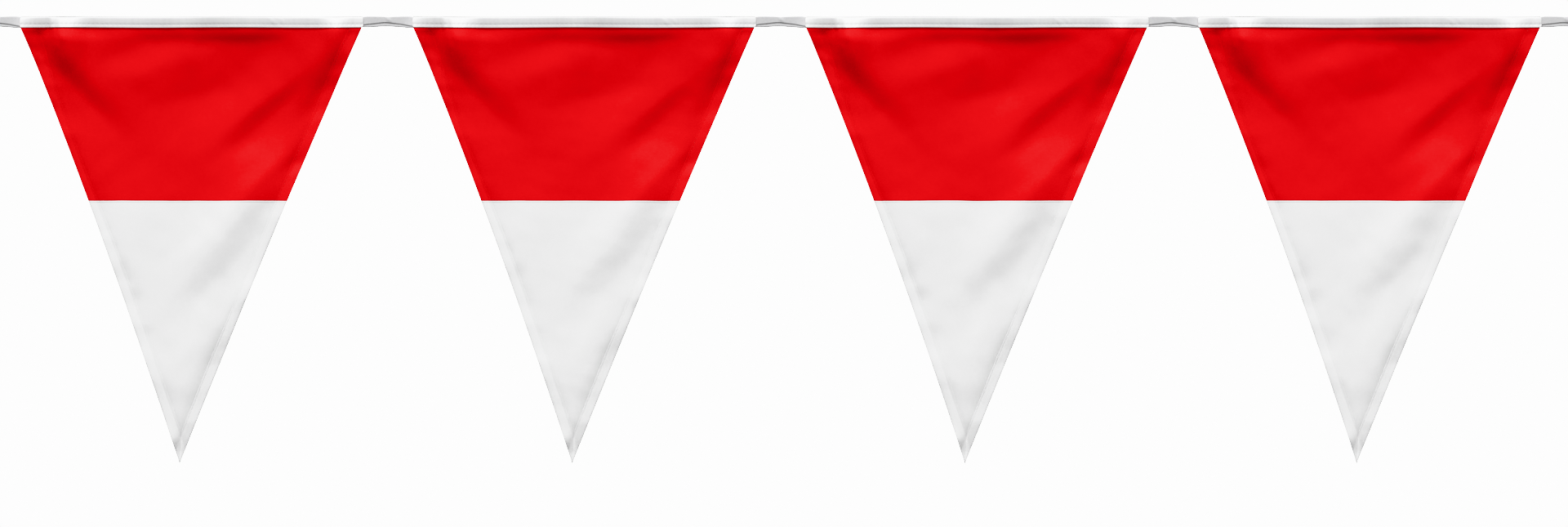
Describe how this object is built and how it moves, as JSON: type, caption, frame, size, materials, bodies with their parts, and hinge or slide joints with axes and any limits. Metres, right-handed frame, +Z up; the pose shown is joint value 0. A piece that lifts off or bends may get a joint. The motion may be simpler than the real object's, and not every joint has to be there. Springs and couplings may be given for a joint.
{
  "type": "string of flag bunting",
  "caption": "Hanging string of red and white triangular cloth pennants, each hemmed and sewn into a white heading over a shared folded tape.",
  "frame": {"origin": "middle of the string's top edge", "axes": "+X along the string, to the right as seen from the front; -Y towards the viewer; +Z up"},
  "size_m": [1.0796, 0.013, 0.3],
  "materials": {
    "flag_cloth": "smooth printed polyester, red above and white below",
    "heading_tape": "white satin tape with a soft shine",
    "carrying_tape": "matt white woven tape"
  },
  "bodies": {
    "root": {"flag_1": "flag_cloth", "flag_2": "flag_cloth", "flag_3": "flag_cloth", "flag_4": "flag_cloth", "heading_1": "heading_tape", "heading_2": "heading_tape", "heading_3": "heading_tape", "heading_4": "heading_tape", "tape": "carrying_tape"}
  },
  "joints": []
}
